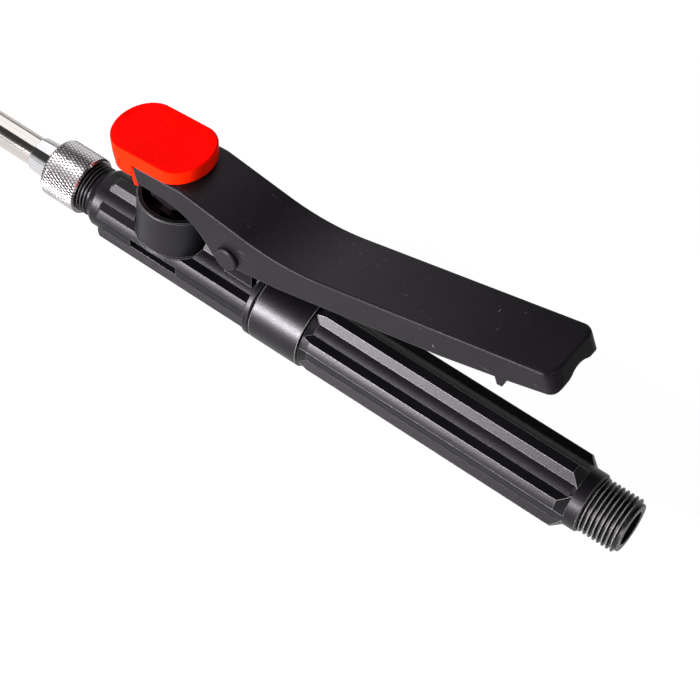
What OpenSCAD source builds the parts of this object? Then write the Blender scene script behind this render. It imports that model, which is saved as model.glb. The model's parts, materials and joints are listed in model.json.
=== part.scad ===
// Trigger handle of a knapsack sprayer with its shut-off valve, lance and cone nozzle.
// X runs along the handle, the hose end face is at X = 0 and the lance points to -X.
// Z is up, on the lever's side. Millimetres.

/* [Hose end] */
// Crest diameter of the hose thread
hose_thread_d = 20.955; // [18:0.005:26]
// Length of the hose thread
hose_thread_l = 15.4; // [12:0.1:22]
// Pitch of the hose thread
hose_pitch = 1.814; // [1.25:0.001:2.2]
// Depth of the hose thread
hose_thread_h = 1.16; // [0.7:0.01:1.3]
// Bore at the hose end
inlet_d = 13.5; // [10:0.1:15]
// Diameter of the plain neck behind the thread
end_neck_d = 22.7; // [21.5:0.1:26]
// Length of the plain neck behind the thread
end_neck_l = 5.3; // [3:0.1:9]

/* [Grip] */
// Length of the ribbed part
grip_rib_l = 111.1; // [90:0.1:140]
// Diameter over the ribs
grip_rib_d = 28.7; // [27.6:0.1:32]
// Diameter of the round core between the ribs
grip_core_d = 23.6; // [22.8:0.1:25]
// Width of a rib's crest
grip_rib_w = 3.7; // [2.8:0.1:4.5]
// Slope of the ribs' sides, in degrees
rib_slope = 33; // [20:0.5:35]
// Turn of the six ribs about the handle's axis, in degrees
rib_turn = 5.6; // [-12:0.1:12]
// Length of the chamfer at a rib's end
rib_chamfer = 3.6; // [2:0.1:6]
// Diameter of the smooth collar
collar_d = 29.7; // [27.6:0.1:32]
// Length of the smooth collar
collar_l = 21.6; // [17.5:0.1:30]
// Diameter of the step where the ribs begin
rib_root_d = 27.2; // [26:0.1:27.5]
// Main bore of the grip
grip_bore_d = 16.4; // [14:0.1:17.5]

/* [Valve body] */
// Diameter of the end ring beside the seam
ring_d = 29.6; // [28:0.1:32]
// Length of the end ring
ring_l = 3.1; // [2:0.1:6]
// Length of the ribbed barrel
barrel_l = 69.9; // [66:0.1:90]
// Diameter over the barrel's ribs
barrel_rib_d = 28; // [27:0.1:31]
// Diameter of the barrel's core
barrel_core_d = 23.2; // [22.4:0.1:24]
// Width of the crest of a barrel's rib
barrel_rib_w = 3.3; // [2.8:0.1:4.2]
// Length of the rounded shoulder
shoulder_l = 7.3; // [5:0.1:10]
// Crest diameter of the spigot thread for the lance nut
spigot_d = 20; // [19:0.1:22]
// Length of the spigot
spigot_l = 15.5; // [14:0.1:20]
// Pitch of the spigot thread
spigot_pitch = 1.5; // [1:0.05:2]
// Depth of the spigot thread
spigot_thread_h = 0.92; // [0.6:0.01:1.2]
// Bore of the spigot
spigot_bore_d = 12; // [9:0.1:13]
// Diameter of the tenon inside the grip's collar
tenon_d = 22.2; // [21.5:0.1:23.5]
// Length of the tenon
tenon_l = 15.8; // [13:0.1:16.5]
// Length of the pocket in each side of the barrel
pocket_l = 21.5; // [14:0.1:24]
// Distance of the pocket's middle in front of the cup's axis
pocket_shift = 2.3; // [0:0.1:4]
// Height of that pocket
pocket_h = 4.2; // [3:0.1:5]
// Depth of that pocket below the barrel's core
pocket_depth = 3.2; // [1:0.1:3.2]

/* [Valve] */
// Distance of the valve's axis from the seam
cup_back = 44.3; // [42:0.1:46]
// Outer diameter of the valve cup
cup_d = 30.5; // [28:0.1:32]
// Wall of the valve cup
cup_wall = 1.9; // [1.4:0.1:2.8]
// Height of the cup's rim above the handle's axis
cup_rim_z = 26; // [24:0.1:27]
// Height of the cup's seat above the handle's axis
cup_seat_z = 7; // [6:0.1:8]
// Underside of the cup's floor above the handle's axis
cup_floor_z = 12; // [11:0.1:13]
// Thickness of the cup's floor
cup_floor_t = 3.6; // [3:0.1:4.5]
// Diameter of the valve stem
stem_d = 6; // [5:0.1:7]
// Height of the lift pin above the handle's axis
lift_pin_z = 33.2; // [32.6:0.1:34]
// Diameter of the lift pin
lift_pin_d = 3.2; // [2.6:0.1:3.6]
// Level of the valve's seat
seat_z = -3.5; // [-4:0.1:-3]
// Travel of the valve stem
stem_travel = 5.85; // [4:0.05:6]
// Wire of the valve spring
spring_wire = 0.9; // [0.6:0.05:1]
// Curls of the valve spring
spring_curls = 5; // [4:1:6]

/* [Lever] */
// Width of the lever
lever_w = 27.2; // [26:0.1:30]
// Thickness of the lever's sides
lever_wall = 2.2; // [1.6:0.1:2.4]
// Thickness of the lever's top
lever_top = 2.4; // [1.8:0.1:3]
// Pivot, distance from the seam
pivot_back = 11.4; // [10:0.1:14]
// Pivot, height above the handle's axis
pivot_z = 27.2; // [26:0.1:29]
// Diameter of the pivot pin
pivot_d = 5; // [4:0.1:6]
// Diameter of the pivot pin's head
pivot_head_d = 9.2; // [8:0.1:10]
// Thickness of the pivot pin's head
pivot_head_t = 1.7; // [1:0.1:2]
// Length of the lever from the pivot to the tip
lever_tip_l = 43.1; // [42:0.1:45]
// Length of the lever from the pivot to the tail
lever_tail_l = 127.8; // [110:0.1:140]
// Rise from the bend to the front pad, in degrees
lever_front_a = 8; // [6:0.1:9]
// Distance of the front pad's rear end from the pivot
pad_front = 22; // [20:0.1:24]
// Fall of the front pad towards the tip, in degrees
pad_a = 4.5; // [3:0.1:6]
// Rise of the rear half towards the tail, in degrees
lever_rear_a = 14.6; // [13:0.1:18]
// Distance of the bend from the pivot
bend_back = 22.5; // [20:0.1:28]
// Height of the bend above the pivot
bend_up = 11.6; // [10.8:0.1:12.4]
// Radius of the bend
bend_r = 85; // [40:1:100]
// Height of the sides behind the bend
side_h = 11.6; // [10:0.1:12]
// Height of the sides at the tail
side_h_tail = 8.6; // [8:0.1:9.5]

/* [Thumb slide] */
// Length of the thumb slide
slide_l = 41.2; // [39:0.1:44]
// Width of the thumb slide
slide_w = 27.6; // [27:0.1:30]
// Height of the thumb slide over the lever's top
slide_h = 5.6; // [4.6:0.1:6.5]
// Depth of its nose below the lever's top
slide_nose = 6.6; // [5.6:0.1:7]
// Travel of the thumb slide
slide_travel = 5; // [3:0.1:6]

/* [Lance] */
// Diameter of the knurled nut
nut_d = 23.4; // [22.6:0.1:26]
// Length of the knurled nut
nut_l = 16.2; // [13:0.1:17]
// Diameter of the lance tube
tube_d = 12; // [10:0.1:12]
// Wall of the lance tube
tube_wall = 0.9; // [0.6:0.1:1.2]
// Length of the lance tube ahead of the nut
lance_l = 205; // [60:1:400]
// Length of the ferrule ahead of the nut
ferrule_l = 9.9; // [6:0.1:14]
// Diameter of the nozzle cap
cap_d = 20; // [19.4:0.1:24]
// Length of the nozzle cap
cap_l = 17; // [14:0.1:22]
// Diameter of the spray hole
spray_d = 1.6; // [0.8:0.1:2.5]

/* [Hidden] */
$fn = 48;
// Radial clearance of a turning fit
run_gap = 0.05;
// Clearance between parts that move past each other
free_gap = 0.3;
// Clearance of parts that are screwed or pushed together
seat_gap = 0.1;

// Stations along the handle, from the hose end forward
x_neck = -hose_thread_l;
x_rib_rear = x_neck - end_neck_l;
x_rib_front = x_rib_rear - grip_rib_l;
x_seam = x_rib_front - collar_l;
x_ring = x_seam - ring_l;
x_barrel = x_ring - barrel_l;
x_shoulder = x_barrel - shoulder_l;
x_spigot = x_shoulder - spigot_l;
x_tenon = x_seam + tenon_l;
x_cup = x_seam - cup_back;
x_pivot = x_seam - pivot_back;

// Seal between the lance and the spigot, and the ferrule's flange before it
gasket_t = 1;
flange_t = 2.2;
nut_lip = 2.4;
x_gasket = x_spigot - gasket_t;
x_flange = x_gasket - flange_t;
x_nut = x_flange - seat_gap - nut_lip;
x_ferrule = x_nut - ferrule_l;
x_lance = x_nut - lance_l;
ferrule_d = tube_d + 3;
flange_d = spigot_d - 2 * spigot_thread_h - 0.4;
gasket_bore = tube_d + 1;

// Strainer in the grip
strainer_d = grip_bore_d - 0.6;
strainer_l = grip_rib_l * 0.62;
strainer_flange_t = 1;
strainer_wall = 1.4;
mesh_t = 0.4;
strainer_slot = 9;
socket_d = tenon_d + 2 * seat_gap;
x_socket = x_tenon + seat_gap + strainer_flange_t + seat_gap;

// Seal ring on the tenon
ring_seal_d = 1.8;
tenon_groove_w = 2.4;
x_tenon_groove = x_tenon - 5;
tenon_groove_d = socket_d - 2 * ring_seal_d;

// Valve chamber in the barrel
bead_h = 1.2;
bead_d = cup_d + 1.1;
skirt_d = 19;
skirt_wall = 1.9;
skirt_bottom = cup_seat_z - 2;
chamber_d = skirt_d - 2 * skirt_wall - 0.8;
valve_disc_d = chamber_d - 2.4;
seal_t = 1.4;
collar_t = 1.4;
seat_hole_d = 6;
outlet_d = 4.8;
outlet_z = seat_z - outlet_d / 2 - 1.1;
feed_d = 7.6;
feed_z = seat_z + 0.2 + feed_d / 2;
seal_bottom = seat_z + seat_gap;
stem_foot = seal_bottom + seal_t;
spring_bottom = stem_foot + collar_t + seat_gap;
spring_top = cup_floor_z - seat_gap;
spring_d = stem_d + 3.6;
gland_d = 10.4;
gland_nut_d = 14;
gland_nut_h = 3.6;
gland_tail = 1.6;
gland_lip = 0.8;
stem_ring_t = cup_floor_t - gland_lip - gland_tail - 2 * seat_gap;
lift_pin_l = 13.4;
stem_top = lift_pin_z + lift_pin_d / 2 + 1.4;

// Pivot cheeks on the barrel, well inside the lever's sides
cheek_t = 3.6;
cheek_out = lever_w / 2 - lever_wall - 4.8;
cheek_r = 5.2;
cheek_foot = 6.2;
pin_out = lever_w / 2 + 0.2;
clip_t = 1.2;

// Lever, drawn about its pivot
front_slope = tan(lever_front_a);
rear_slope = tan(lever_rear_a);
bend_tangent = bend_r * tan((lever_front_a + lever_rear_a) / 2);
front_start = [bend_back - bend_tangent * cos(lever_front_a), bend_up + bend_tangent * sin(lever_front_a)];
bend_mid = front_start + bend_r * [sin(lever_front_a), cos(lever_front_a)];
bend_steps = 16;
bend_line = [for (i = [0 : bend_steps])
    let (a = lever_rear_a - (lever_rear_a + lever_front_a) * i / bend_steps)
    bend_mid + bend_r * [sin(a), -cos(a)]];
front_under = 9.2;
ear_r = 4.5;
ear_shift = 3.6;
pad_top = bend_up + front_slope * (bend_back + pad_front);
pad_slope = tan(pad_a);
tail_wall = 2;
tail_lean = 1.8;
tail_along = [cos(lever_rear_a), sin(lever_rear_a)];
tail_down = [sin(lever_rear_a), -cos(lever_rear_a)];
tail_top = [lever_tail_l, bend_up + rear_slope * (lever_tail_l - bend_back)];
tail_under = tail_top + side_h_tail * tail_down + tail_lean * tail_along;
scoop_r = 11;
scoop_under = 4.9;
tail_r = 4.6;
tail_turn = -atan(tail_lean / side_h_tail) - lever_rear_a;
tooth_at = lever_tail_l - 16.8;
tooth_under = 14.1;
taper_at = tooth_at - 23;
fork_in = lift_pin_l / 2 + free_gap;
fork_t = 2;
fork_top = lift_pin_z - lift_pin_d / 2 - free_gap - pivot_z;
fork_plate = 2.2;
fork_at = x_cup - x_pivot;
fork_front = fork_at - 8.4;
fork_rear = fork_at + 6.2;
fork_cut = 2.8;
fork_low = fork_top - fork_plate - 0.194 * (fork_rear - fork_cut - fork_front);
fork_foot = [[fork_front, fork_top - fork_plate], [fork_rear - fork_cut, fork_low],
    [fork_rear, fork_low + 0.7 * fork_cut]];

// Thumb slide, drawn about its middle on the lever's front pad
slide_back = 2.4;
slide_x = -lever_tip_l + slide_back;
slide_neck_w = 8;
slide_neck_l = 8;
slide_neck_x = 5;
slide_tip = -slide_back / cos(pad_a) - 0.8;
slide_end = 10.7;
slide_rake = 4;
dip_r = 75;
dip = 0.9;
ridge_depth = 0.3;
ridge_pitch = 1.4;
ridges = 11;
slide_wall = 2;
screw_d = 2.4;
screw_head = 1.4;
screw_grip = 2.2;
keeper_t = 2;
keeper_w = 12;
keeper_l = 18;
runner_out = lever_w / 2 - lever_wall - free_gap;
runner_t = 1.6;
runner_l = 6;
runner_bottom = 7.4;
runner_h = 3;

// Nozzle on the lance's far end
cap_thread_d = tube_d + 2.4;
holder_d = tube_d + 4;
holder_l = 9;
holder_thread_l = 8;
x_holder = x_lance - 2;
disc_t = 2.4;
cap_face = 2.6;
x_cap = x_holder - holder_thread_l - seat_gap - disc_t - seat_gap - cap_face;

function top_at(x) =
    x < -pad_front ? pad_top + pad_slope * (x + pad_front) :
    x < bend_back ? bend_up + front_slope * (bend_back - x) : bend_up + rear_slope * (x - bend_back);
function bezier(a, b, c, d, t) =
    pow(1 - t, 3) * a + 3 * t * pow(1 - t, 2) * b + 3 * t * t * (1 - t) * c + pow(t, 3) * d;

// A solid turned about the handle's axis, from points given as [radius, x]
module turned(points) {
    rotate([0, 90, 0]) rotate_extrude() polygon(points);
}

// A plain cylinder along the handle's axis
module rod(d, from, to) {
    translate([from, 0, 0]) rotate([0, 90, 0]) cylinder(d = d, h = to - from);
}

// A section in Y and Z, drawn out along X
module drawn(from, to) {
    translate([from, 0, 0]) rotate([90, 0, 90]) linear_extrude(to - from) children();
}

// A side view in X and Z, drawn out across Y
module across(width) {
    rotate([90, 0, 0]) linear_extrude(width, center = true) children();
}

// A turned thread of flat-topped ridges between two stations
module thread(d, depth, pitch, from, to) {
    ridges = floor((to - from) / pitch);
    turned(concat(
        [[0.1, from], [d / 2 - depth, from]],
        [for (i = [0 : ridges - 1], p = [[0.1, depth], [0.36, 0], [0.54, 0], [0.8, depth]])
            [d / 2 - p[1], from + (i + p[0]) * pitch]],
        [[d / 2 - depth, to], [0.1, to]]
    ));
}

// Ribs of a handle section: six bars with sloping sides, broader at the foot
module rib_section(out, crest) {
    foot = min(grip_core_d, barrel_core_d) / 2 - 2;
    low = crest / 2 + (out - foot) * tan(rib_slope);
    high = crest / 2 - tan(rib_slope);
    for (i = [0 : 5]) rotate(90 + rib_turn + 60 * i)
        polygon([[foot, -low], [out + 1, -high], [out + 1, high], [foot, low]]);
}

module grip() {
    out = grip_rib_d / 2;
    core = grip_core_d / 2;
    root = rib_root_d / 2;
    neck = end_neck_d / 2;
    color("#1b1b1d") difference() {
        union() {
            turned([[6, x_seam], [collar_d / 2 - 0.4, x_seam], [collar_d / 2, x_seam + 0.4],
                [collar_d / 2, x_rib_front - 0.4], [root, x_rib_front], [core, x_rib_front + 2.6],
                [core, x_rib_rear - 1], [neck, x_rib_rear], [neck, x_neck - 0.6],
                [neck - 0.6, x_neck], [6, x_neck]]);
            intersection() {
                drawn(x_rib_front, x_rib_rear) rib_section(out, grip_rib_w);
                turned([[5, x_rib_front], [root, x_rib_front], [out, x_rib_front + rib_chamfer],
                    [out, x_rib_rear - rib_chamfer], [neck, x_rib_rear], [5, x_rib_rear]]);
            }
            difference() {
                thread(hose_thread_d, hose_thread_h, hose_pitch, x_neck - 0.05, 0);
                turned([[hose_thread_d / 2 - 1.4, 0.1], [hose_thread_d / 2 + 1, 0.1],
                    [hose_thread_d / 2 + 1, -2.3]]);
            }
        }
        rod(socket_d, x_seam - 1, x_socket);
        rod(grip_bore_d, x_seam, x_rib_rear);
        rod(inlet_d, x_rib_rear - 1, 1);
    }
}

module strainer_frame() {
    back = x_tenon + seat_gap;
    color("#3c4a3f") difference() {
        union() {
            rod(socket_d - 2 * seat_gap, back, back + strainer_flange_t);
            rod(strainer_d, back, back + strainer_l);
        }
        rod(strainer_d - 2 * strainer_wall, back - 1, back + strainer_l - strainer_wall);
        for (i = [0 : 3]) translate([back + 5 + i * (strainer_l - 8) / 4, 0, 0])
            for (s = [0, 90]) rotate([s, 0, 0]) translate([0, -strainer_d, -2.4])
                cube([strainer_slot, 2 * strainer_d, 4.8]);
    }
}

module strainer_mesh() {
    back = x_tenon + seat_gap;
    bore = strainer_d - 2 * strainer_wall - 2 * run_gap;
    color("#b8bcc0") difference() {
        rod(bore, back + 0.5, back + strainer_l - strainer_wall - seat_gap);
        rod(bore - 2 * mesh_t, back, back + strainer_l);
    }
}

module tenon_ring() {
    middle = (tenon_groove_d + socket_d) / 4;
    color("#111111") translate([x_tenon_groove + tenon_groove_w / 2, 0, 0]) rotate([0, 90, 0])
        rotate_extrude() translate([middle, 0]) circle(d = ring_seal_d - 2 * run_gap);
}

module valve_body() {
    out = barrel_rib_d / 2;
    core = barrel_core_d / 2;
    root = spigot_d / 2 - spigot_thread_h;
    color("#1d1d1f") difference() {
        union() {
            thread(spigot_d, spigot_thread_h, spigot_pitch, x_spigot, x_shoulder + 0.05);
            turned([[3, x_shoulder], [root, x_shoulder], [root + 0.8, x_shoulder + 0.6],
                [core - 0.5, x_shoulder + 2.4], [core, x_shoulder + 3.4],
                [core, x_ring], [ring_d / 2 - 0.4, x_ring], [ring_d / 2, x_ring + 0.4],
                [ring_d / 2, x_seam - 0.9], [ring_d / 2 - 0.7, x_seam - 0.2], [tenon_d / 2, x_seam - 0.2],
                [tenon_d / 2, x_tenon - 0.8], [tenon_d / 2 - 0.8, x_tenon], [3, x_tenon]]);
            intersection() {
                drawn(x_barrel, x_ring + 0.1) rib_section(out, barrel_rib_w);
                turned([[3, x_barrel], [core + 1, x_barrel], [out, x_barrel + 1.4], [out, x_ring + 0.1], [3, x_ring + 0.1]]);
            }
            translate([x_cup, 0, cup_seat_z - 2.4]) cylinder(d = barrel_rib_d - 0.4, h = 2.4);
            for (s = [-1, 1]) translate([x_pivot, s * (cheek_out - cheek_t / 2), 0]) across(cheek_t) {
                translate([0, pivot_z]) circle(cheek_r);
                polygon([[-cheek_foot, 2], [cheek_foot, 2], [cheek_foot, core], [cheek_r, pivot_z],
                    [-cheek_r, pivot_z], [-cheek_foot, core]]);
            }
        }
        translate([x_cup, 0, cup_seat_z]) cylinder(d = bead_d + 2 * seat_gap, h = out);
        translate([x_cup, 0, skirt_bottom - seat_gap]) cylinder(d = skirt_d + 2 * seat_gap, h = out);
        translate([x_cup, 0, seat_z]) cylinder(d = chamber_d, h = out);
        translate([x_cup, 0, outlet_z]) cylinder(d = seat_hole_d, h = out);
        translate([0, 0, outlet_z]) rod(outlet_d, x_barrel - 2, x_cup + 0.5);
        rod(spigot_bore_d, x_spigot - 1, x_barrel - 1);
        translate([0, 0, feed_z]) rod(feed_d, x_cup, x_seam + 1);
        rod(spigot_bore_d, x_seam, x_tenon + 1);
        difference() {
            rod(tenon_d + 2, x_tenon_groove, x_tenon_groove + tenon_groove_w);
            rod(tenon_groove_d, x_tenon_groove - 1, x_tenon_groove + tenon_groove_w + 1);
        }
        rotate([rib_turn, 0, 0]) for (s = [-1, 1]) translate([x_cup - pocket_shift, s * (core + 4), 0])
            cube([pocket_l, 8 + 2 * pocket_depth, pocket_h], center = true);
        translate([x_pivot, 0, pivot_z]) rotate([90, 0, 0])
            cylinder(d = pivot_d + 2 * run_gap, h = lever_w, center = true);
    }
}

module valve_cup() {
    out = cup_d / 2;
    bore = out - cup_wall;
    top = cup_floor_z + cup_floor_t;
    color("#202022") translate([x_cup, 0, 0]) rotate_extrude() polygon([
        [stem_d / 2 + 0.2, cup_floor_z], [skirt_d / 2 - skirt_wall, cup_floor_z],
        [skirt_d / 2 - skirt_wall, skirt_bottom], [skirt_d / 2, skirt_bottom], [skirt_d / 2, cup_seat_z],
        [bead_d / 2, cup_seat_z], [bead_d / 2, cup_seat_z + bead_h - 0.5], [bead_d / 2 - 0.5, cup_seat_z + bead_h],
        [out, cup_seat_z + bead_h], [out, cup_rim_z - 0.4], [out - 0.4, cup_rim_z], [bore, cup_rim_z],
        [bore, top], [gland_d / 2, top], [gland_d / 2, cup_floor_z + gland_lip],
        [stem_d / 2 + 0.2, cup_floor_z + gland_lip]
    ]);
}

module gland_nut() {
    top = cup_floor_z + cup_floor_t;
    color("#242426") translate([x_cup, 0, 0]) difference() {
        union() {
            translate([0, 0, top + seat_gap]) cylinder(d = gland_nut_d, h = gland_nut_h, $fn = 6);
            translate([0, 0, top - gland_tail]) cylinder(d = gland_d - 2 * seat_gap, h = gland_tail + 1);
        }
        cylinder(d = stem_d + 2 * run_gap, h = cup_rim_z);
    }
}

module stem_ring() {
    floor_z = cup_floor_z + gland_lip;
    color("#141414") translate([x_cup, 0, floor_z + seat_gap / 2]) difference() {
        cylinder(d = gland_d - 2 * seat_gap, h = stem_ring_t);
        translate([0, 0, -1]) cylinder(d = stem_d + 2 * run_gap, h = stem_ring_t + 2);
    }
}

module valve_stem() {
    color("#b8934e") translate([x_cup, 0, 0]) difference() {
        union() {
            translate([0, 0, stem_foot]) cylinder(d = stem_d, h = stem_top - stem_foot - 0.8);
            translate([0, 0, stem_top - 0.8]) cylinder(d1 = stem_d, d2 = stem_d - 1.6, h = 0.8);
            translate([0, 0, stem_foot]) cylinder(d = valve_disc_d, h = collar_t);
            translate([0, 0, seal_bottom]) cylinder(d = 3, h = seal_t + 1);
        }
        translate([0, 0, lift_pin_z]) rotate([90, 0, 0])
            cylinder(d = lift_pin_d + 2 * run_gap, h = stem_d + 2, center = true);
    }
}

module valve_seal() {
    color("#151515") translate([x_cup, 0, seal_bottom]) difference() {
        cylinder(d = valve_disc_d, h = seal_t);
        translate([0, 0, -1]) cylinder(d = 3 + 2 * run_gap, h = seal_t + 2);
    }
}

// Points of the valve spring, eight rings of six sides to a curl
spring_rings = 8 * spring_curls;
spring_rise = spring_top - spring_bottom - spring_wire;
spring_points = [for (i = [0 : spring_rings], j = [0 : 5])
    let (a = i * 45, w = j * 60, r = spring_d / 2 + spring_wire / 2 * cos(w))
    [r * cos(a), r * sin(a), spring_bottom + spring_wire / 2 + spring_rise * i / spring_rings
        + spring_wire / 2 * sin(w)]];
spring_faces = concat(
    [for (i = [0 : spring_rings - 1], j = [0 : 5], k = [0, 1])
        let (p = 6 * i + j, q = 6 * i + (j + 1) % 6)
        k == 0 ? [p, p + 6, q] : [q, p + 6, q + 6]],
    [for (j = [1 : 4]) [0, j, j + 1]],
    [for (j = [1 : 4]) let (e = 6 * spring_rings) [e, e + j + 1, e + j]]
);
spring_gap = min([for (p = [0 : 5], q = [0 : 5]) norm(spring_points[p] - spring_points[48 + q])]);
echo(spring_least_gap = spring_gap);

module valve_spring() {
    color("#c9ccd0") translate([x_cup, 0, 0]) polyhedron(spring_points, spring_faces);
}

module lift_pin() {
    color("#c4c7cb") translate([x_cup, 0, lift_pin_z]) rotate([90, 0, 0])
        cylinder(d = lift_pin_d, h = lift_pin_l, center = true);
}

// Side view of the lever, about its pivot
module lever_side() {
    ear_front = [-ear_shift - ear_r * 0.85, -ear_r * 0.55];
    polygon(concat(
        [[-lever_tip_l, front_under]],
        [for (i = [0 : 12]) bezier([-31, front_under], [-18, front_under - 0.8], [-13, 4.5], ear_front, i / 12)],
        [[-ear_shift, -ear_r], [0, -ear_r + 0.4], [bend_back, bend_up - side_h],
            [taper_at, top_at(taper_at) - side_h], [tooth_at, top_at(tooth_at) - side_h * 0.9],
            for (i = [0 : 6]) bezier(tail_under - 3.2 * tail_along, tail_under - 1.2 * tail_along,
                tail_under - tail_down, tail_under - 2.6 * tail_down, i / 6),
            tail_top],
        bend_line,
        [[-pad_front, pad_top], [-lever_tip_l, top_at(-lever_tip_l)]]
    ));
    translate([-ear_shift, 0]) circle(ear_r);
}

// Hollow under the lever's top, open at the tip
module lever_hollow() {
    lower = lever_top / cos(lever_rear_a);
    polygon(concat(
        [[-lever_tip_l - 1, -20], [lever_tail_l, -20], tail_under - tail_wall * tail_along,
            tail_top - tail_wall * tail_along - [0, lower]],
        [for (p = bend_line) p - [0, lower]],
        [[-pad_front, pad_top - lower], [-lever_tip_l - 1, top_at(-lever_tip_l - 1) - lower]]
    ));
}

module tail_corner(s) {
    mid = [-tail_r, lever_w / 2 - tail_r];
    arc = [for (i = [0 : 14]) mid + (tail_r + 0.05) * [cos(i * 90 / 14), sin(i * 90 / 14)]];
    outside = [[-tail_r, lever_w / 2 + 2], [2, lever_w / 2 + 2], [2, lever_w / 2 - tail_r]];
    polygon([for (p = concat(arc, outside)) [p[0], s * p[1]]]);
}

module lever() {
    tooth_top = top_at(tooth_at);
    color("#222224") translate([x_pivot, 0, pivot_z]) difference() {
        union() {
            difference() {
                across(lever_w) lever_side();
                across(lever_w - 2 * lever_wall) lever_hollow();
            }
            for (s = [-1, 1]) translate([0, s * (fork_in + fork_t / 2), 0]) across(fork_t)
                polygon(concat(fork_foot, [[fork_rear, top_at(fork_rear) - lever_top / 2],
                    [fork_front, top_at(fork_front) - lever_top / 2]]));
            across(2 * fork_in + 0.2)
                polygon(concat(fork_foot, [[fork_rear, fork_top], [fork_front, fork_top]]));
            for (s = [-1, 1]) translate([0, s * (lever_w / 2 - lever_wall / 2), 0]) across(lever_wall)
                polygon([[tooth_at - 2.4, tooth_top - side_h + 1], [tooth_at + 2.2, tooth_top - side_h + 2],
                    [tooth_at + 1.2, tooth_top - tooth_under + 0.3], [tooth_at - 0.8, tooth_top - tooth_under]]);
        }
        translate([fork_at, 0, fork_low - 1]) cylinder(d = stem_d + 1.4, h = fork_top - fork_low + 2);
        translate([fork_front - 1, -stem_d / 2 - 0.7, fork_low - 1])
            cube([fork_at - fork_front + 1, stem_d + 1.4, fork_top - fork_low + 2]);
        rotate([90, 0, 0]) cylinder(d = pivot_d + 2 * run_gap, h = lever_w + 2, center = true);
        slide_place() translate([slide_neck_x - slide_travel - free_gap, -slide_neck_w / 2 - free_gap, -lever_top - 2])
            cube([slide_neck_l + slide_travel + 2 * free_gap, slide_neck_w + 2 * free_gap, lever_top + 4]);
        translate([tail_top[0], 0, tail_top[1]]) rotate([0, 90 - lever_rear_a, 0])
            translate([scoop_under + scoop_r, 0, -tail_wall - 1]) cylinder(r = scoop_r, h = 3 * tail_wall);
        for (s = [-1, 1]) translate([tail_top[0], 0, tail_top[1]]) rotate([0, tail_turn, 0])
            translate([0, 0, -2 * side_h_tail]) linear_extrude(3 * side_h_tail) tail_corner(s);
    }
}

module pivot_pin() {
    color("#2a2a2c") translate([x_pivot, 0, pivot_z]) rotate([90, 0, 0]) {
        translate([0, 0, -pin_out - clip_t - 1]) cylinder(d = pivot_d, h = 2 * pin_out + clip_t + 1.2);
        translate([0, 0, pin_out]) cylinder(d = pivot_head_d, h = pivot_head_t - 0.5);
        translate([0, 0, pin_out + pivot_head_t - 0.5])
            cylinder(d1 = pivot_head_d, d2 = pivot_head_d - 1, h = 0.5);
    }
}

module pivot_clip() {
    color("#8e9196") translate([x_pivot, pin_out, pivot_z]) rotate([-90, 0, 0]) difference() {
        cylinder(d = pivot_head_d, h = clip_t);
        translate([0, 0, -1]) cylinder(d = pivot_d + 2 * run_gap, h = clip_t + 2);
    }
}

// Puts its children on the lever's front pad, about the pivot
module slide_place() {
    translate([slide_x, 0, top_at(slide_x)]) rotate([0, -pad_a, 0]) children();
}

// Outline of the thumb slide, straight sides with oval ends
module slide_outline(inset) {
    polygon([for (a = [-87.5 : 5 : 267.5])
        [(slide_l / 2 - slide_end) * sign(cos(a)) + (slide_end - inset) * cos(a), (slide_w / 2 - inset) * sin(a)]]);
}

module thumb_slide() {
    dip_z = free_gap + slide_h - dip + dip_r;
    color("#e8170c") translate([x_pivot, 0, pivot_z]) slide_place() {
        difference() {
            union() {
                translate([0, 0, free_gap]) linear_extrude(slide_h - 1) slide_outline(0);
                translate([0, 0, free_gap + slide_h - 1.01]) linear_extrude(0.61) slide_outline(0.3);
                translate([0, 0, free_gap + slide_h - 0.41]) linear_extrude(0.41) slide_outline(0.9);
            }
            translate([0, 0, dip_z]) rotate([90, 0, 0]) sphere(dip_r);
            intersection() {
                translate([0, 0, dip_z]) rotate([90, 0, 0]) sphere(dip_r + ridge_depth);
                for (i = [0 : ridges - 1]) translate([1 + i * ridge_pitch, -slide_w / 2 + 3, 0])
                    cube([ridge_pitch / 2, slide_w - 6, slide_h + 1]);
            }
        }
        difference() {
            translate([slide_neck_x, -slide_neck_w / 2, -lever_top - free_gap])
                cube([slide_neck_l, slide_neck_w, lever_top + 2 * free_gap + 0.1]);
            translate([slide_neck_x + slide_neck_l / 2, 0, -lever_top - free_gap - 1])
                cylinder(d = screw_d + 2 * run_gap, h = screw_grip + 1);
        }
        intersection() {
            translate([0, 0, -slide_nose]) linear_extrude(slide_nose + 1) difference() {
                slide_outline(0.2);
                slide_outline(0.2 + slide_wall);
            }
            across(2 * slide_w) polygon([[-slide_l / 2, 2], [-slide_l / 2, free_gap],
                [-slide_l / 2 + slide_rake, -slide_nose], [slide_tip, -slide_nose], [slide_tip, 2]]);
        }
        for (s = [-1, 1]) translate([slide_tip - 1, s * (runner_out - runner_t / 2) - runner_t / 2, -runner_bottom])
            cube([runner_l, runner_t, runner_h]);
        for (s = [-1, 1]) translate([slide_tip - 4, s * runner_out - 1.6, -runner_bottom])
            cube([3.2, 3.2, runner_h]);
    }
}

module slide_keeper() {
    color("#2b2b2d") translate([x_pivot, 0, pivot_z]) slide_place() difference() {
        translate([slide_neck_x + slide_neck_l / 2 - keeper_l / 2, -keeper_w / 2, -lever_top - free_gap - keeper_t])
            cube([keeper_l, keeper_w, keeper_t]);
        translate([slide_neck_x + slide_neck_l / 2, 0, -lever_top - free_gap - keeper_t - 1])
            cylinder(d = screw_d + 2 * seat_gap, h = keeper_t + 2);
    }
}

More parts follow.
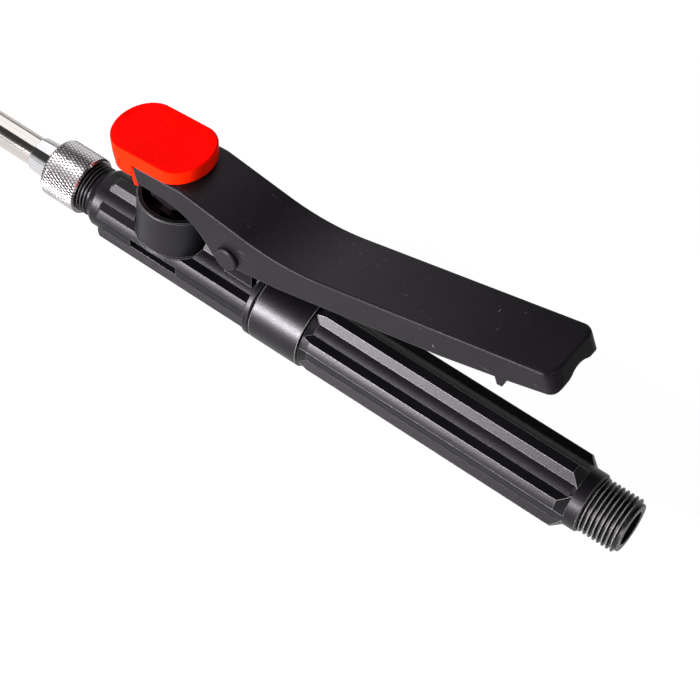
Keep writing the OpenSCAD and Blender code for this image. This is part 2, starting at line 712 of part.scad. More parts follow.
module slide_screw() {
    color("#b9bcc1") translate([x_pivot, 0, pivot_z]) slide_place()
        translate([slide_neck_x + slide_neck_l / 2, 0, -lever_top - free_gap - keeper_t - screw_head]) {
            cylinder(d = 2 * screw_d, h = screw_head);
            cylinder(d = screw_d, h = screw_head + keeper_t + screw_grip - seat_gap);
        }
}

module lance_gasket() {
    color("#141414") difference() {
        rod(flange_d, x_gasket, x_spigot);
        rod(gasket_bore, x_gasket - 1, x_spigot + 1);
    }
}

module knurled_nut() {
    out = nut_d / 2;
    bore = spigot_d / 2 + seat_gap;
    back = x_nut + nut_l;
    color("#c8ccd2") turned([[ferrule_d / 2 + seat_gap, x_nut], [out - 1, x_nut], [out, x_nut + 1],
        [out, back - 0.8], [out - 0.8, back], [bore, back], [bore, x_nut + nut_lip],
        [ferrule_d / 2 + seat_gap, x_nut + nut_lip]]);
}

module lance_ferrule() {
    bore = tube_d / 2 + run_gap;
    color("#d2d5da") turned([[bore, x_ferrule], [bore + 0.5, x_ferrule], [bore + 0.8, x_ferrule + 0.3],
        [ferrule_d / 2, x_nut - 1.2], [ferrule_d / 2, x_flange], [flange_d / 2, x_flange],
        [flange_d / 2, x_gasket], [bore, x_gasket]]);
}

module lance_tube() {
    color("#c3c6cb") difference() {
        rod(tube_d, x_lance, x_gasket);
        rod(tube_d - 2 * tube_wall, x_lance - 1, x_gasket + 1);
    }
}

module nozzle_holder() {
    color("#1e1e20") difference() {
        union() {
            rod(holder_d, x_holder, x_holder + holder_l);
            thread(cap_thread_d, 0.8, 1.25, x_holder - holder_thread_l, x_holder + 0.05);
        }
        rod(tube_d + 2 * run_gap, x_lance, x_holder + holder_l + 1);
        rod(6, x_holder - holder_thread_l - 1, x_lance + 1);
    }
}

module swirl_disc() {
    back = x_holder - holder_thread_l - seat_gap;
    color("#a98a4b") difference() {
        rod(cap_thread_d - 0.6, back - disc_t, back);
        for (s = [0 : 90 : 270]) rotate([s, 0, 0]) translate([back - disc_t - 1, 0, 3.2])
            rotate([0, 90, 0]) cylinder(d = 1.4, h = disc_t + 2);
    }
}

module nozzle_ring() {
    color("#141414") difference() {
        rod(holder_d - 0.6, x_holder - 1.4, x_holder - seat_gap);
        rod(cap_thread_d + 2 * seat_gap, x_holder - 2, x_holder + 1);
    }
}

module nozzle_cap() {
    out = cap_d / 2;
    bore = cap_thread_d / 2 + seat_gap;
    color("#252527") difference() {
        turned([[spray_d / 2, x_cap], [2.6, x_cap], [out - 2.4, x_cap + 0.6], [out, x_cap + 4],
            [out, x_cap + cap_l - 0.8], [out - 0.8, x_cap + cap_l], [holder_d / 2 + free_gap, x_cap + cap_l],
            [holder_d / 2 + free_gap, x_holder - 1.5 - seat_gap], [bore, x_holder - 1.5 - seat_gap],
            [bore, x_cap + cap_face], [spray_d / 2, x_cap + cap_face]]);
        for (a = [0 : 30 : 330]) rotate([a, 0, 0]) translate([x_cap + 6, 0, out + 0.5])
            rotate([0, 90, 0]) cylinder(d = 2.4, h = cap_l);
    }
}

grip();
strainer_frame();
strainer_mesh();
tenon_ring();
valve_body();
valve_cup();
gland_nut();
stem_ring();
valve_stem();
valve_seal();
valve_spring();
lift_pin();
lever();
pivot_pin();
pivot_clip();
thumb_slide();
slide_keeper();
slide_screw();
lance_gasket();
knurled_nut();
lance_ferrule();
lance_tube();
nozzle_holder();
swirl_disc();
nozzle_ring();
nozzle_cap();
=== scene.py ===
import json
import math
import bpy
from mathutils import Matrix, Vector


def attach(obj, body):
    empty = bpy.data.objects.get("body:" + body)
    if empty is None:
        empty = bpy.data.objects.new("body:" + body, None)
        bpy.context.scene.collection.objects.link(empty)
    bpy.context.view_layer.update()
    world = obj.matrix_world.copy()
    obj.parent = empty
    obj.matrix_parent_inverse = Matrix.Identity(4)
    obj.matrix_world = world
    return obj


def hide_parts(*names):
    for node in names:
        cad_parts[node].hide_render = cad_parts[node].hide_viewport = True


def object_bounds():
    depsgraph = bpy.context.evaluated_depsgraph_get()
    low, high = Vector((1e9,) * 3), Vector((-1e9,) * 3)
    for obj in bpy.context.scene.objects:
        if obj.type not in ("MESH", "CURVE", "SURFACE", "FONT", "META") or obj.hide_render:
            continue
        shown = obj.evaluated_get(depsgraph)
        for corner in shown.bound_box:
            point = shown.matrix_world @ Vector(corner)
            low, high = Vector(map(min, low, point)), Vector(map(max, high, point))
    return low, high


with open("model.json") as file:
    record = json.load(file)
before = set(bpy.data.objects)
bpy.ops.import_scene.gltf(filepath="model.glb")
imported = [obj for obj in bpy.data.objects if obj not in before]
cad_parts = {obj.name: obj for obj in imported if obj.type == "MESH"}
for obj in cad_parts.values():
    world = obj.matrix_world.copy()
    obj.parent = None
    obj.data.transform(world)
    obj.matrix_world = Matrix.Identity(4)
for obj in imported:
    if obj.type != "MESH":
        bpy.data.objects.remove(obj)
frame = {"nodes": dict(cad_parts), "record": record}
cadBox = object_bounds()
mm = 0.001
hair = 0.01 * mm
weld = 0.002 * mm
quarter = math.radians(90)
unit = (0, 1)
print("frame loaded:", len(frame["nodes"]), "nodes")


# small helpers for the operators

def deselectAll():
    bpy.ops.object.select_all(action="DESELECT")


def makeActive(piece):
    deselectAll()
    piece.select_set(True)
    bpy.context.view_layer.objects.active = piece


def editMode(kind="VERT"):
    bpy.ops.object.mode_set(mode="EDIT")
    bpy.ops.mesh.select_mode(type=kind)


def objectMode():
    bpy.ops.object.mode_set(mode="OBJECT")


def clearPicks(kind):
    editMode(kind)
    bpy.ops.mesh.select_all(action="DESELECT")
    objectMode()


def pickVerts(piece, test):
    # selects the points that pass a test on their place, and stays in edit mode
    clearPicks("VERT")
    for v in piece.data.vertices:
        v.select = test(v.co)
    editMode("VERT")


def pickEdges(piece, test):
    clearPicks("EDGE")
    points = piece.data.vertices
    for e in piece.data.edges:
        e.select = test(points[e.vertices[0]].co, points[e.vertices[1]].co)
    editMode("EDGE")


def pickFaces(piece, test):
    clearPicks("FACE")
    for f in piece.data.polygons:
        f.select = test(f.center, f.normal)
    editMode("FACE")


def pickAll(kind="VERT"):
    editMode(kind)
    bpy.ops.mesh.select_all(action="SELECT")


def namePiece(name):
    piece = bpy.context.active_object
    piece.name = name
    piece.data.name = name
    return piece


def settle(piece, matrix=None):
    # the place goes into the mesh and the object stays at the origin
    if matrix is not None:
        piece.matrix_world = matrix
    makeActive(piece)
    bpy.ops.object.transform_apply(location=True, rotation=True, scale=True)


def useModifier(piece, kind, **settings):
    makeActive(piece)
    bpy.ops.object.modifier_add(type=kind)
    modifier = piece.modifiers[-1]
    for label, value in settings.items():
        setattr(modifier, label, value)
    bpy.ops.object.modifier_apply(modifier=modifier.name)


def cutWith(piece, cutter):
    useModifier(piece, "BOOLEAN", operation="DIFFERENCE", object=cutter, solver="EXACT")
    bpy.data.objects.remove(cutter)


def joinInto(piece, others):
    deselectAll()
    for part in [*others, piece]:
        part.select_set(True)
    bpy.context.view_layer.objects.active = piece
    bpy.ops.object.join()


def cleanMesh(piece):
    # takes out slivers that have no area
    makeActive(piece)
    pickAll()
    bpy.ops.mesh.dissolve_degenerate(threshold=weld)
    objectMode()


def smoothFaces(piece, degrees):
    faceWeight = 60
    makeActive(piece)
    bpy.ops.object.shade_smooth_by_angle(angle=math.radians(degrees))
    useModifier(piece, "WEIGHTED_NORMAL", keep_sharp=True, weight=faceWeight)


def wear(piece, material):
    piece.data.materials.clear()
    piece.data.materials.append(material)


def standFor(piece, node, body, slot):
    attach(piece, body)
    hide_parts(node)
    wear(piece, finishes[slot])


# shader groups that several finishes share

def newGroup(name, inputs, outputs):
    group = bpy.data.node_groups.new(name, "ShaderNodeTree")
    for label, value in inputs:
        socket = group.interface.new_socket(name=label, in_out="INPUT", socket_type="NodeSocketFloat")
        socket.default_value = value
    for label in outputs:
        kind = "NodeSocketVector" if label == "Normal" else "NodeSocketFloat"
        group.interface.new_socket(name=label, in_out="OUTPUT", socket_type=kind)
    return group, group.nodes.new("NodeGroupInput"), group.nodes.new("NodeGroupOutput")


def spread(nodes, links, value, source, target):
    node = nodes.new("ShaderNodeMapRange")
    for labels, ends in ((("From Min", "From Max"), source), (("To Min", "To Max"), target)):
        for label, end in zip(labels, ends):
            node.inputs[label].default_value = end
    links.new(value, node.inputs["Value"])
    return node.outputs["Result"]


def sums(nodes, links, operation, first, second):
    node = nodes.new("ShaderNodeMath")
    node.operation = operation
    for socket, value in zip(node.inputs, (first, second)):
        if isinstance(value, (int, float)):
            socket.default_value = value
        else:
            links.new(value, socket)
    return node.outputs["Value"]


def noise(nodes, links, vector, scale, detail, rough):
    node = nodes.new("ShaderNodeTexNoise")
    node.inputs["Detail"].default_value = detail
    node.inputs["Roughness"].default_value = rough
    links.new(vector, node.inputs["Vector"])
    if isinstance(scale, (int, float)):
        node.inputs["Scale"].default_value = scale
    else:
        links.new(scale, node.inputs["Scale"])
    return node.outputs["Fac"]


def stretched(nodes, links, vector, scale, turn=0.0):
    node = nodes.new("ShaderNodeMapping")
    node.inputs["Scale"].default_value = scale
    node.inputs["Rotation"].default_value = (0, 0, turn)
    links.new(vector, node.inputs["Vector"])
    return node.outputs["Vector"]


def buildMouldGrain():
    # satin skin of moulded plastic: fine grain, pale specks and slow clouding
    inputs = [("Grain", 2100.0), ("Clouds", 45.0), ("Specks", 0.72)]
    group, inside, outside = newGroup("mouldGrain", inputs, ["Tone", "Rough", "Height"])
    nodes, links = group.nodes, group.links
    dotScale, speckTone = 1700.0, 0.6
    cloudRange, cloudTone = (0.3, 0.7), (0.05, 0.4)
    grainRange, grainTone = (0.35, 0.65), (-0.1, 0.1)
    roughRange, roughShift = (0.3, 0.7), (-0.06, 0.06)
    place = nodes.new("ShaderNodeTexCoord").outputs["Object"]
    grain = noise(nodes, links, place, inside.outputs["Grain"], detail=4.0, rough=0.6)
    clouds = noise(nodes, links, place, inside.outputs["Clouds"], detail=3.0, rough=0.5)
    dots = noise(nodes, links, place, dotScale, detail=2.0, rough=0.4)
    speck = sums(nodes, links, "GREATER_THAN", dots, inside.outputs["Specks"])
    tone = spread(nodes, links, clouds, cloudRange, cloudTone)
    tone = sums(nodes, links, "ADD", tone, sums(nodes, links, "MULTIPLY", speck, speckTone))
    tone = sums(nodes, links, "ADD", tone, spread(nodes, links, grain, grainRange, grainTone))
    links.new(tone, outside.inputs["Tone"])
    links.new(spread(nodes, links, grain, roughRange, roughShift), outside.inputs["Rough"])
    links.new(grain, outside.inputs["Height"])
    return group


def buildEdgeGlint():
    # where a corner is near, a rounded normal, and a mask of the corner if it stands out, which carries a
    # painted edge highlight
    group, inside, outside = newGroup("edgeGlint", [("Radius", 0.3 * mm)], ["Mask", "Normal"])
    nodes, links = group.nodes, group.links
    cornerSamples, hollowSamples, hollowReach = 12, 8, 1.2 * mm
    openRange, turnRange = (0.72, 0.92), (0.985, 0.88)
    corner = nodes.new("ShaderNodeBevel")
    corner.samples = cornerSamples
    links.new(inside.outputs["Radius"], corner.inputs["Radius"])
    flat = nodes.new("ShaderNodeNewGeometry").outputs["Normal"]
    facing = nodes.new("ShaderNodeVectorMath")
    facing.operation = "DOT_PRODUCT"
    links.new(corner.outputs["Normal"], facing.inputs[0])
    links.new(flat, facing.inputs[1])
    hollow = nodes.new("ShaderNodeAmbientOcclusion")
    hollow.samples = hollowSamples
    hollow.only_local = True
    hollow.inputs["Distance"].default_value = hollowReach
    standing = spread(nodes, links, hollow.outputs["AO"], openRange, unit)
    edgeHighlight = spread(nodes, links, facing.outputs["Value"], turnRange, unit)
    links.new(sums(nodes, links, "MULTIPLY", edgeHighlight, standing), outside.inputs["Mask"])
    links.new(corner.outputs["Normal"], outside.inputs["Normal"])
    return group


def buildScuffs():
    # thin scratches in two directions and small pale nicks, in patches
    group, inside, outside = newGroup("scuffs", [("Amount", 0.5)], ["Mask"])
    nodes, links = group.nodes, group.links
    scratches = [{"stretch": (90, 2600, 900), "turn": 0.5, "range": (0.70, 0.76)},
                 {"stretch": (120, 2200, 900), "turn": -0.9, "range": (0.72, 0.78)}]
    patchScale, patchRange = 55.0, (0.5, 0.62)
    nickScale, nickRange = 420.0, (0.76, 0.80)
    place = nodes.new("ShaderNodeTexCoord").outputs["Object"]
    marks = []
    for scratch in scratches:
        along = stretched(nodes, links, place, scratch["stretch"], scratch["turn"])
        lines = noise(nodes, links, along, 1.0, detail=2.0, rough=0.5)
        marks.append(spread(nodes, links, lines, scratch["range"], unit))
    nicks = noise(nodes, links, place, nickScale, detail=1.0, rough=0.4)
    both = sums(nodes, links, "MAXIMUM", *marks)
    both = sums(nodes, links, "MAXIMUM", both, spread(nodes, links, nicks, nickRange, unit))
    where = noise(nodes, links, place, patchScale, detail=2.0, rough=0.5)
    patchy = sums(nodes, links, "MULTIPLY", both, spread(nodes, links, where, patchRange, unit))
    links.new(sums(nodes, links, "MULTIPLY", patchy, inside.outputs["Amount"]), outside.inputs["Mask"])
    return group


def buildDrawnMetal():
    # faint lines and smears of drawn or turned metal, along X
    inputs = [("Fine", 1.0), ("Smears", 30.0)]
    group, inside, outside = newGroup("drawnMetal", inputs, ["Tone", "Rough", "Height"])
    nodes, links = group.nodes, group.links
    longLines, halfTone = (12, 1600, 1600), (0.0, 0.5)
    lineRange, smearRange = (0.3, 0.7), (0.35, 0.65)
    roughRange, roughShift = (0.35, 0.7), (-0.03, 0.07)
    place = nodes.new("ShaderNodeTexCoord").outputs["Object"]
    along = stretched(nodes, links, place, longLines)
    lines = noise(nodes, links, along, inside.outputs["Fine"], detail=2.0, rough=0.5)
    smears = noise(nodes, links, place, inside.outputs["Smears"], detail=3.0, rough=0.5)
    tone = sums(nodes, links, "ADD", spread(nodes, links, lines, lineRange, halfTone),
                spread(nodes, links, smears, smearRange, halfTone))
    links.new(tone, outside.inputs["Tone"])
    links.new(spread(nodes, links, smears, roughRange, roughShift), outside.inputs["Rough"])
    links.new(lines, outside.inputs["Height"])
    return group


mouldGrain = buildMouldGrain()
edgeGlint = buildEdgeGlint()
scuffs = buildScuffs()
drawnMetal = buildDrawnMetal()
print("shader groups built")


# finishes

grainDepth = 0.1 * mm
drawnDepth = 0.02 * mm


def blankMaterial(name):
    material = bpy.data.materials.new(name)
    material.use_nodes = True
    tree = material.node_tree
    return material, tree.nodes["Principled BSDF"], tree.nodes, tree.links


def placeGroup(nodes, group, values):
    node = nodes.new("ShaderNodeGroup")
    node.node_tree = group
    for label, value in values.items():
        node.inputs[label].default_value = value
    return node


def mixColour(nodes, links, mask, first, second):
    node = nodes.new("ShaderNodeMix")
    node.data_type = "RGBA"
    links.new(mask, node.inputs["Factor"])
    for socket, colour in ((node.inputs[6], first), (node.inputs[7], second)):
        if isinstance(colour, tuple):
            socket.default_value = (*colour, 1.0)
        else:
            links.new(colour, socket)
    return node.outputs[2]


def bumpFrom(nodes, links, height, strength, distance, normal=None):
    node = nodes.new("ShaderNodeBump")
    node.inputs["Strength"].default_value = strength
    node.inputs["Distance"].default_value = distance
    links.new(height, node.inputs["Height"])
    if normal is not None:
        links.new(normal, node.inputs["Normal"])
    return node.outputs["Normal"]


def upFacing(nodes, links):
    split = nodes.new("ShaderNodeSeparateXYZ")
    links.new(nodes.new("ShaderNodeNewGeometry").outputs["Normal"], split.inputs[0])
    return split.outputs["Z"]


def mouldedPlastic(name, look):
    material, shader, nodes, links = blankMaterial(name)
    uprightRange, aboveSide, belowTop = (0.9, 0.3), (0.1, 0.35), (0.93, 0.8)
    values = {"Grain": look["grain"], "Clouds": look["clouds"], "Specks": look["specks"]}
    grain = placeGroup(nodes, mouldGrain, values)
    corner = placeGroup(nodes, edgeGlint, {"Radius": look["corner"]})
    colour = mixColour(nodes, links, grain.outputs["Tone"], look["dark"], look["pale"])
    if "sides" in look:
        # painted highlight: upright faces get an orange tint that stands in for the low lamp's sheen on the
        # sides
        upright = spread(nodes, links, upFacing(nodes, links), uprightRange, unit)
        colour = mixColour(nodes, links, upright, colour, look["sides"])
    # painted highlight: corners that stand out are lightened toward the edge colour
    colour = mixColour(nodes, links, corner.outputs["Mask"], colour, look["edgeHighlight"])
    if "scuffs" in look:
        marks = placeGroup(nodes, scuffs, {"Amount": look["scuffs"]})
        colour = mixColour(nodes, links, marks.outputs["Mask"], colour, look["scuffColour"])
    rough = sums(nodes, links, "ADD", grain.outputs["Rough"], look["rough"])
    normal = bumpFrom(nodes, links, grain.outputs["Height"], look["bump"], grainDepth,
                      corner.outputs["Normal"])
    links.new(colour, shader.inputs["Base Color"])
    links.new(rough, shader.inputs["Roughness"])
    links.new(normal, shader.inputs["Normal"])
    shader.inputs["Specular Tint"].default_value = (*look["tint"], 1.0)
    shader.inputs["Specular IOR Level"].default_value = look["specular"]
    if "softEdge" in look:
        # the rounding between top and side shines less
        up = upFacing(nodes, links)
        turn = sums(nodes, links, "MINIMUM", spread(nodes, links, up, aboveSide, unit),
                    spread(nodes, links, up, belowTop, unit))
        shine = spread(nodes, links, turn, unit, (look["specular"], look["softEdge"]))
        links.new(shine, shader.inputs["Specular IOR Level"])
    return material


def brightMetal(name, look):
    material, shader, nodes, links = blankMaterial(name)
    drawn = placeGroup(nodes, drawnMetal, {"Fine": look["fine"], "Smears": look["smears"]})
    colour = mixColour(nodes, links, drawn.outputs["Tone"], look["deep"], look["light"])
    if "pits" in look:
        # painted shade in the knurl's low places, by distance from the X axis
        across = nodes.new("ShaderNodeVectorMath")
        across.operation = "MULTIPLY"
        links.new(nodes.new("ShaderNodeTexCoord").outputs["Object"], across.inputs[0])
        across.inputs[1].default_value = (0, 1, 1)
        reach = nodes.new("ShaderNodeVectorMath")
        reach.operation = "LENGTH"
        links.new(across.outputs["Vector"], reach.inputs[0])
        low = spread(nodes, links, reach.outputs["Value"], look["pits"], (1, 0))
        colour = mixColour(nodes, links, low, colour, look["grooveShade"])
    rough = sums(nodes, links, "ADD", drawn.outputs["Rough"], look["rough"])
    normal = bumpFrom(nodes, links, drawn.outputs["Height"], look["bump"], drawnDepth)
    links.new(colour, shader.inputs["Base Color"])
    links.new(rough, shader.inputs["Roughness"])
    links.new(normal, shader.inputs["Normal"])
    shader.inputs["Metallic"].default_value = 1.0
    return material


# the edge colour in each look is a painted highlight on the corners that stand out
blackLook = {"dark": (0.0018, 0.0015, 0.0021), "pale": (0.009, 0.0078, 0.0102),
             "edgeHighlight": (0.09, 0.088, 0.086), "grain": 2100.0, "clouds": 45.0, "specks": 0.72, "rough": 0.36,
             "bump": 0.42, "corner": 0.4 * mm, "specular": 0.3, "tint": (0.98, 0.92, 1.0)}
gripSkin = {**blackLook, "edgeHighlight": (0.42, 0.41, 0.4)}
bodySkin = {**blackLook, "rough": 0.37, "specular": 0.22}
cupSkin = {**blackLook, "rough": 0.45, "specks": 0.71, "edgeHighlight": (0.22, 0.215, 0.22)}
leverSkin = {**blackLook, "rough": 0.41, "scuffs": 0.8, "scuffColour": (0.09, 0.088, 0.09),
             "corner": 1.0 * mm, "edgeHighlight": (0.014, 0.013, 0.015), "tint": (1.0, 0.87, 1.0), "bump": 0.4,
             "specular": 0.28, "softEdge": 0.1}
pinSkin = {**blackLook, "rough": 0.42, "corner": 0.15 * mm, "scuffs": 0.6,
           "scuffColour": (0.06, 0.06, 0.06)}
nozzleSkin = {**blackLook, "rough": 0.40}
strainerSkin = {**blackLook, "dark": (0.03, 0.06, 0.04), "pale": (0.07, 0.12, 0.08),
                "edgeHighlight": (0.09, 0.14, 0.1)}
rubberSkin = {**blackLook, "rough": 0.62, "bump": 0.6}
# the red's side colour is a painted orange sheen on its upright faces
redSkin = {"dark": (0.90, 0.0006, 0.0002), "pale": (0.97, 0.0012, 0.0003), "edgeHighlight": (0.96, 0.02, 0.002),
           "grain": 3200.0, "clouds": 70.0, "specks": 0.9, "rough": 0.5, "bump": 0.15, "corner": 0.2 * mm,
           "specular": 0.03, "tint": (1.0, 0.3, 0.05), "sides": (0.93, 0.013, 0.0012)}
brassSkin = {"deep": (0.48, 0.31, 0.10), "light": (0.72, 0.52, 0.22), "rough": 0.26, "fine": 1.0,
             "smears": 120.0, "bump": 0.2}
steelSkin = {"deep": (0.42, 0.43, 0.45), "light": (0.66, 0.67, 0.69), "rough": 0.28, "fine": 1.0,
             "smears": 150.0, "bump": 0.2}
# the nut's groove colour is painted shade in the knurl's low places
nutSkin = {"deep": (0.64, 0.61, 0.63), "light": (0.82, 0.79, 0.81), "rough": 0.22, "fine": 0.6,
           "smears": 200.0, "bump": 0.1, "pits": (11.38 * mm, 11.56 * mm), "grooveShade": (0.22, 0.2, 0.2)}
ferruleSkin = {"deep": (0.70, 0.69, 0.72), "light": (0.84, 0.84, 0.87), "rough": 0.07, "fine": 0.6,
               "smears": 90.0, "bump": 0.05}
tubeSkin = {"deep": (0.64, 0.59, 0.56), "light": (0.82, 0.77, 0.74), "rough": 0.07, "fine": 1.0,
            "smears": 25.0, "bump": 0.05}
finishes = {
    "grip_plastic": mouldedPlastic("gripBlack", gripSkin),
    "body_plastic": mouldedPlastic("bodyBlack", bodySkin),
    "cup_plastic": mouldedPlastic("cupBlack", cupSkin),
    "lever_plastic": mouldedPlastic("leverBlack", leverSkin),
    "pin_plastic": mouldedPlastic("pinBlack", pinSkin),
    "nozzle_plastic": mouldedPlastic("nozzleBlack", nozzleSkin),
    "strainer_plastic": mouldedPlastic("strainerGreen", strainerSkin),
    "red_plastic": mouldedPlastic("thumbRed", redSkin),
    "rubber": mouldedPlastic("sealRubber", rubberSkin),
    "brass": brightMetal("turnedBrass", brassSkin),
    "steel": brightMetal("springSteel", steelSkin),
    "nut_chrome": brightMetal("nutChrome", nutSkin),
    "ferrule_chrome": brightMetal("ferrulePolish", ferruleSkin),
    "tube_steel": brightMetal("tubeSteel", tubeSkin),
}
for subpart in frame["record"]["subparts"]:
    wear(frame["nodes"][subpart["node"]], finishes[subpart["material_slot"]])
print("finishes ready:", len(finishes))


# lever: a merged copy of the solid with its upper outer edges rounded over

leverLook = {"edge": 1.2 * mm, "steps": 6, "apart": 8 * mm, "low": 32 * mm, "tailStart": -42 * mm,
             "tip": (-208.3 * mm, 0, 43.3 * mm), "tipLean": 19.5, "flatness": 0.3, "topSlope": 0.9,
             "sideSlope": 0.5, "smooth": 32}


def roundTopEdges(piece, look):
    # the top's outer edges: an upward face on one side, an upright one on the other
    slopes = {}
    for f in piece.data.polygons:
        for key in f.edge_keys:
            slopes.setdefault(key, []).append(f.normal.z)
    points = piece.data.vertices
    clearPicks("EDGE")
    for e in piece.data.edges:
        key = tuple(sorted(e.vertices))
        two = sorted(slopes[key])
        a, b = points[key[0]].co, points[key[1]].co
        outside = min(abs(a.y), abs(b.y)) > look["apart"] or min(a.x, b.x) > look["tailStart"]
        outside = outside and min(a.z, b.z) > look["low"]
        corner = len(two) == 2 and two[1] > look["topSlope"] and abs(two[0]) < look["sideSlope"]
        e.select = corner and outside
    editMode("EDGE")
    bpy.ops.mesh.bevel(offset=look["edge"], segments=look["steps"], profile=0.5, clamp_overlap=False)
    objectMode()


def makeLever(look):
    source = frame["nodes"]["lever"]
    piece = bpy.data.objects.new("leverSoft", source.data.copy())
    bpy.context.scene.collection.objects.link(piece)
    makeActive(piece)
    bpy.ops.mesh.customdata_custom_splitnormals_clear()
    pickAll()
    bpy.ops.mesh.remove_doubles(threshold=weld)
    bpy.ops.mesh.dissolve_limited(angle_limit=math.radians(look["flatness"]))
    # the front ends of the sides lean back
    lean = math.radians(look["tipLean"])
    bpy.ops.mesh.select_all(action="SELECT")
    bpy.ops.mesh.bisect(plane_co=look["tip"], plane_no=(-math.cos(lean), 0, -math.sin(lean)),
                        use_fill=True, clear_outer=True)
    objectMode()
    roundTopEdges(piece, look)
    cleanMesh(piece)
    smoothFaces(piece, look["smooth"])
    standFor(piece, "lever", "lever_arm", "lever_plastic")


makeLever(leverLook)
print("lever made")


# red thumb slide, modelled about its own middle and then put on the lever's front pad

tip = -3.207 * mm
slideLook = {"front": 19.1 * mm, "rear": 20.6 * mm, "width": 27.6 * mm, "end": 10.7 * mm, "points": 128,
             "height": 5.6 * mm, "gap": 0.3 * mm, "rim": 0.8 * mm, "rimSteps": 7, "draft": 0.965,
             "place": (-205.5 * mm, 0.0, 43.582 * mm), "fall": 4.5, "smooth": 28, "flatTop": 0.985,
             "dipDepth": 0.5 * mm, "dipRadius": 165 * mm, "dipStretch": 1.5, "dipSegments": 320,
             "dipRings": 160, "groove": 0.12 * mm, "grooveSlope": 3.9, "groovePitch": 1.22 * mm,
             "grooves": 15, "grooveStart": -1.9 * mm, "discDepth": 0.3 * mm, "discEdge": 0.145 * mm,
             "discPoints": 640, "nose": 5.4 * mm, "noseLow": -1 * mm, "noseTaper": 0.985,
             "noseEdge": 0.35 * mm, "rake": 1.5 * mm, "wall": 2.0 * mm, "backDepth": 1.5 * mm,
             "backWidth": 8 * mm, "lean": 15.0,
             "notch": ((-9.2 * mm, 13.2 * mm, -3.4 * mm), (-8.75 * mm, 14.5 * mm, 0.1 * mm), 0),
             "neck": ((5 * mm, -4 * mm, -2.7 * mm), (13 * mm, 4 * mm, 0.4 * mm), 0.2 * mm),
             "foot": ((tip - 1 * mm, 9.5 * mm, -7.4 * mm), (tip + 5 * mm, 11.1 * mm, -4.4 * mm), 0.2 * mm),
             "toe": ((tip - 4 * mm, 9.5 * mm, -6.2 * mm), (tip - 0.8 * mm, 12.7 * mm, -4.4 * mm), 0.3 * mm),
             "leg": ((tip - 1.6 * mm, 10.4 * mm, -9.0 * mm), (tip, 13.5 * mm, 0.0), 0.25 * mm)}


def slideOutline(look):
    # a filled ring of points drawn out into straight sides with oval ends
    deselectAll()
    bpy.ops.mesh.primitive_circle_add(vertices=look["points"], radius=look["width"] / 2, fill_type="NGON",
                                      location=(0, 0, 0))
    piece = bpy.context.active_object
    pickAll()
    bpy.ops.transform.resize(value=(2 * look["end"] / look["width"], 1, 1), center_override=(0, 0, 0))
    for side, reach in ((-1, look["front"]), (1, look["rear"])):
        pickVerts(piece, lambda p: p.x * side > hair)
        bpy.ops.transform.translate(value=(side * (reach - look["end"]), 0, 0))
    bpy.ops.mesh.select_all(action="SELECT")
    bpy.ops.transform.translate(value=(0, 0, look["gap"]))
    objectMode()
    return piece


def addBlock(low, high, edge):
    deselectAll()
    size = [b - a for a, b in zip(low, high)]
    middle = [(a + b) / 2 for a, b in zip(low, high)]
    bpy.ops.mesh.primitive_cube_add(size=1, location=middle, scale=size)
    block = bpy.context.active_object
    settle(block)
    if edge:
        pickAll("EDGE")
        bpy.ops.mesh.bevel(offset=edge, segments=2)
        objectMode()
    return block


def addSideBlock(block, side):
    low, high, edge = block
    near, far = sorted((side * low[1], side * high[1]))
    return addBlock((low[0], near, low[2]), (high[0], far, high[2]), edge)


def addDish(look, height):
    # a long shallow bowl, laid on its side so that its poles are out of the way
    deselectAll()
    middle = (0, 0, height + look["dipRadius"])
    bpy.ops.mesh.primitive_uv_sphere_add(segments=look["dipSegments"], ring_count=look["dipRings"],
                                         radius=look["dipRadius"], location=middle,
                                         rotation=(quarter, 0, 0))
    dish = bpy.context.active_object
    settle(dish)
    pickAll()
    bpy.ops.transform.resize(value=(look["dipStretch"], 1, 1), center_override=middle)
    objectMode()
    return dish


def cutGrooves(cap, look, height):
    # cross grooves: thin discs with sloping rims that follow the bowl a little deeper
    discs = []
    for i in range(look["grooves"]):
        x = look["grooveStart"] + i * look["groovePitch"]
        middle = (x, 0, height + look["dipRadius"])
        bowl = look["dipRadius"] * math.sqrt(1 - (x / look["dipRadius"] / look["dipStretch"]) ** 2)
        deselectAll()
        bpy.ops.mesh.primitive_cylinder_add(vertices=look["discPoints"], radius=bowl + look["groove"],
                                            depth=look["discDepth"], location=middle,
                                            rotation=(0, quarter, 0))
        disc = bpy.context.active_object
        settle(disc)
        pickEdges(disc, lambda a, b: abs(a.x - b.x) < hair)
        bpy.ops.mesh.bevel(offset=look["discEdge"], segments=1)
        bpy.ops.mesh.select_all(action="SELECT")
        bpy.ops.transform.resize(value=(look["grooveSlope"], 1, 1), center_override=middle)
        objectMode()
        discs.append(disc)
    joinInto(discs[0], discs[1:])
    cutWith(cap, discs[0])


def makeCap(look):
    # the pad that the thumb pushes, with a round rim and a shallow bowl
    top = look["gap"] + look["height"]
    cap = slideOutline(look)
    pickAll("FACE")
    bpy.ops.mesh.extrude_region_move(TRANSFORM_OT_translate={"value": (0, 0, look["height"])})
    bpy.ops.mesh.select_all(action="SELECT")
    bpy.ops.mesh.normals_make_consistent(inside=False)
    pickVerts(cap, lambda p: p.z < look["gap"] + hair and p.x < 0)
    bpy.ops.transform.resize(value=(look["draft"], 1, 1), center_override=(0, 0, 0))
    pickEdges(cap, lambda a, b: min(a.z, b.z) > top - hair)
    bpy.ops.mesh.bevel(offset=look["rim"], segments=look["rimSteps"], profile=0.5)
    objectMode()
    cutWith(cap, addDish(look, top - look["dipDepth"]))
    cutGrooves(cap, look, top - look["dipDepth"])
    cleanMesh(cap)
    return cap


